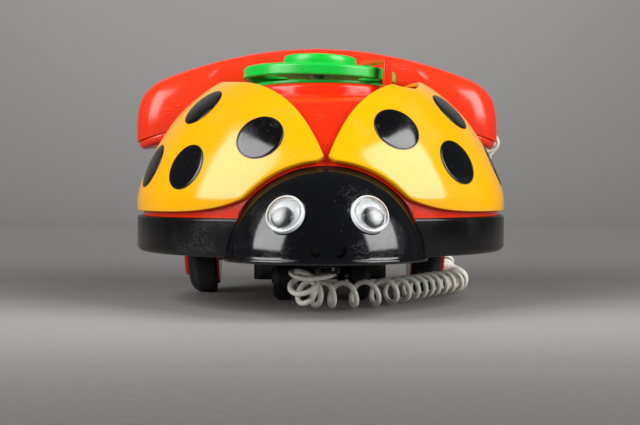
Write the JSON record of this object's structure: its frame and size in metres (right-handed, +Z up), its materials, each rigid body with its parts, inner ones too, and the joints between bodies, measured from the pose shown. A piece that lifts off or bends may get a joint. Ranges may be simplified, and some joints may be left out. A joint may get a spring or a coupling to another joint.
{
  "type": "novelty shaped telephone",
  "caption": "Ladybird-shaped pull-along toy telephone with a finger dial on its back, wobbly eyes and a lift-off handset on a curly cord.",
  "frame": {"origin": "on the floor, under the middle of the toy's outline without its cord", "axes": "+Z up, -Y the way the head faces, +X to the right as seen from the front"},
  "size_m": [0.1898, 0.201, 0.1216],
  "materials": {
    "yellow_gloss": "gloss",
    "red_gloss": "gloss",
    "black_gloss": "gloss",
    "black_satin": "satin",
    "green_gloss": "gloss",
    "white_plastic": "gloss",
    "clear_dome": "clear moulded plastic",
    "pupil_black": "satin",
    "cord_vinyl": "soft vinyl",
    "tyre_black": "moulded",
    "steel": "plain",
    "brass": "stamped"
  },
  "bodies": {
    "toy_body": {"base_tray": "black_satin", "body_shell": "red_gloss", "left_wing": "yellow_gloss", "right_wing": "yellow_gloss", "head_shell": "black_gloss", "left_eye_cup": "white_plastic", "left_eye_lens": "clear_dome", "right_eye_cup": "white_plastic", "right_eye_lens": "clear_dome", "number_plate": "green_gloss", "click_leaf": "steel", "finger_stop": "red_gloss", "handset_cradle": "red_gloss", "underbody_box": "black_satin", "front_axle_bracket": "black_satin", "box_screw_1": "steel", "box_screw_2": "steel", "bracket_screw": "steel", "base_screw_1": "steel", "base_screw_2": "steel", "base_screw_3": "steel", "base_screw_4": "steel", "pull_cord_eye": "black_satin", "gong": "brass", "gong_screw": "steel", "clapper_pin": "steel", "clapper_bearing_left": "black_satin", "clapper_bearing_right": "black_satin", "base_cord_grommet": "cord_vinyl", "cord_coil": "cord_vinyl", "cord_base_lead": "cord_vinyl"},
    "dial": {"dial_wheel": "green_gloss", "dial_hub": "green_gloss", "dial_spindle": "steel", "ratchet_wheel": "white_plastic", "dial_spring": "steel", "spindle_washer": "steel"},
    "handset": {"handset_body": "red_gloss", "handset_grip_cover": "red_gloss", "earpiece_cap": "red_gloss", "mouthpiece_cap": "red_gloss", "handset_screw_1": "steel", "handset_screw_2": "steel", "handset_cord_sleeve": "cord_vinyl", "cord_handset_lead": "cord_vinyl"},
    "rear_wheels": {"rear_axle": "steel", "rear_left_hub": "red_gloss", "rear_right_hub": "red_gloss", "rear_left_tyre": "tyre_black", "rear_right_tyre": "tyre_black", "star_cam": "white_plastic"},
    "front_wheels": {"front_axle": "steel", "front_left_wheel": "tyre_black", "front_right_wheel": "tyre_black"},
    "bell_clapper": {"clapper": "steel"},
    "left_pupil_disc": {"left_pupil": "pupil_black"},
    "right_pupil_disc": {"right_pupil": "pupil_black"}
  },
  "joints": [
    {"name": "dial_spin", "type": "hinge", "parent": "toy_body", "child": "dial", "pos_m": [-0.0009, 0.0007, 0.0952], "axis": [0.0314, 0, 0.9995], "range_deg": [-300, 0], "stiffness_Nm_per_rad": 0.002, "springref_deg": 17.19},
    {"name": "handset_lift", "type": "slide", "parent": "toy_body", "child": "handset", "axis": [0, 0, 1], "range_m": [0, 0.12]},
    {"name": "rear_wheels_spin", "type": "hinge", "parent": "toy_body", "child": "rear_wheels", "pos_m": [0, 0.0437, 0.017], "axis": [1, 0, 0], "continuous": true},
    {"name": "front_wheels_spin", "type": "hinge", "parent": "toy_body", "child": "front_wheels", "pos_m": [0, 0.0027, 0.0108], "axis": [1, 0, 0], "continuous": true},
    {"name": "clapper_swing", "type": "hinge", "parent": "toy_body", "child": "bell_clapper", "pos_m": [0, 0.0237, 0.031], "axis": [1, 0, 0], "range_deg": [-7, 3], "stiffness_Nm_per_rad": 0.002},
    {"name": "left_pupil_slide", "type": "slide", "parent": "toy_body", "child": "left_pupil_disc", "axis": [0.1695, 0.4024, 0.8996], "range_m": [0, 0.0028]},
    {"name": "right_pupil_slide", "type": "slide", "parent": "toy_body", "child": "right_pupil_disc", "axis": [-0.1695, 0.4024, 0.8996], "range_m": [0, 0.0028]}
  ]
}
